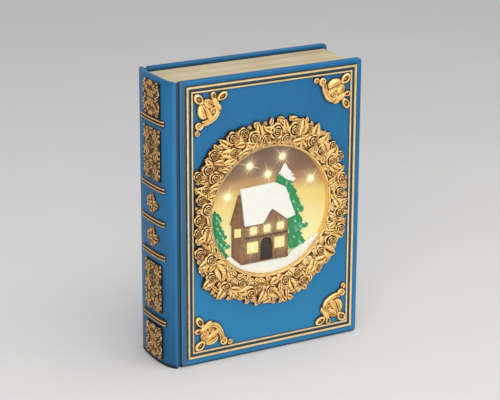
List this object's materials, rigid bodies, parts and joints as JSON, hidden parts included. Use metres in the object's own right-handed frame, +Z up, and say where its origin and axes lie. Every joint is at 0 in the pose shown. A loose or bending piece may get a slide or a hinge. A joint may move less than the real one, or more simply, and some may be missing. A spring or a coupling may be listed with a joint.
{
  "type": "led book ornament",
  "caption": "Standing closed-book ornament with gilt relief, a round window on a lit snowy cottage, battery bay and slide switch at the back.",
  "frame": {"origin": "on the table, under the middle of the whole book's length and depth", "axes": "+X from the spine to the fore edge, +Y from the front cover to the back cover, +Z up the book"},
  "size_m": [0.1508, 0.056, 0.2],
  "materials": {
    "cover_blue": "painted resin, satin",
    "antique_gilt": "antique gold paint with a dark wash",
    "page_edges": "cream paint over fine lines",
    "sunset_sky": "printed plastic, satin",
    "timber_brown": "painted plastic, matt",
    "dark_wood": "painted plastic, matt",
    "snow_white": "painted plastic, matt",
    "fir_green": "painted plastic, matt",
    "white_plastic": "moulded",
    "black_plastic": "moulded",
    "circuit_board": "solder mask",
    "lit_led": "clear epoxy dome, lit",
    "contact_steel": "nickel plated",
    "cell_jacket": "plain printed jacket",
    "red_insulation": "insulated lead",
    "black_insulation": "insulated lead"
  },
  "bodies": {
    "book": {"front_cover": "cover_blue", "back_cover": "cover_blue", "spine_shell": "cover_blue", "outer_border_bead": "antique_gilt", "inner_border_bead": "antique_gilt", "rose_wreath": "antique_gilt", "corner_scroll_top_left": "antique_gilt", "corner_scroll_top_right": "antique_gilt", "corner_scroll_bottom_right": "antique_gilt", "corner_scroll_bottom_left": "antique_gilt", "spine_panel_head": "antique_gilt", "spine_panel_upper": "antique_gilt", "spine_panel_lower": "antique_gilt", "spine_panel_tail": "antique_gilt", "spine_band_1": "antique_gilt", "spine_band_2": "antique_gilt", "spine_band_3": "antique_gilt", "spine_band_4": "antique_gilt", "spine_band_5": "antique_gilt", "spine_flower_upper": "antique_gilt", "spine_flower_lower": "antique_gilt", "page_edge_head": "page_edges", "page_edge_tail": "page_edges", "page_edge_fore": "page_edges", "sky_panel": "sunset_sky", "cottage": "timber_brown", "cottage_door": "dark_wood", "roof_snow": "snow_white", "snow_bank": "snow_white", "fir_tree_right": "fir_green", "fir_tree_left": "fir_green", "scene_housing": "white_plastic", "battery_box": "black_plastic", "switch_body": "black_plastic", "led_board": "circuit_board", "star_led_1": "lit_led", "star_led_2": "lit_led", "star_led_3": "lit_led", "star_led_4": "lit_led", "star_led_5": "lit_led", "window_led_1": "lit_led", "window_led_2": "lit_led", "window_led_3": "lit_led", "window_led_4": "lit_led", "window_led_5": "lit_led", "cell_link_contact": "contact_steel", "positive_contact": "contact_steel", "negative_contact": "contact_steel", "back_cover_screw_1": "contact_steel", "back_cover_screw_2": "contact_steel", "back_cover_screw_3": "contact_steel", "back_cover_screw_4": "contact_steel", "battery_cell_upper": "cell_jacket", "battery_cell_lower": "cell_jacket", "lead_battery_to_switch": "red_insulation", "lead_switch_to_board": "red_insulation", "lead_battery_to_board": "black_insulation"},
    "battery_cover": {"battery_cover": "cover_blue"},
    "switch_knob": {"switch_knob": "black_plastic"}
  },
  "joints": [
    {"name": "battery_cover_hinge", "type": "hinge", "parent": "book", "child": "battery_cover", "pos_m": [0.00585, 0.0268, 0.0621], "axis": [1, 0, 0], "range_deg": [0, 70]},
    {"name": "switch_slide", "type": "slide", "parent": "book", "child": "switch_knob", "axis": [1, 0, 0], "range_m": [-0.003, 0]}
  ]
}
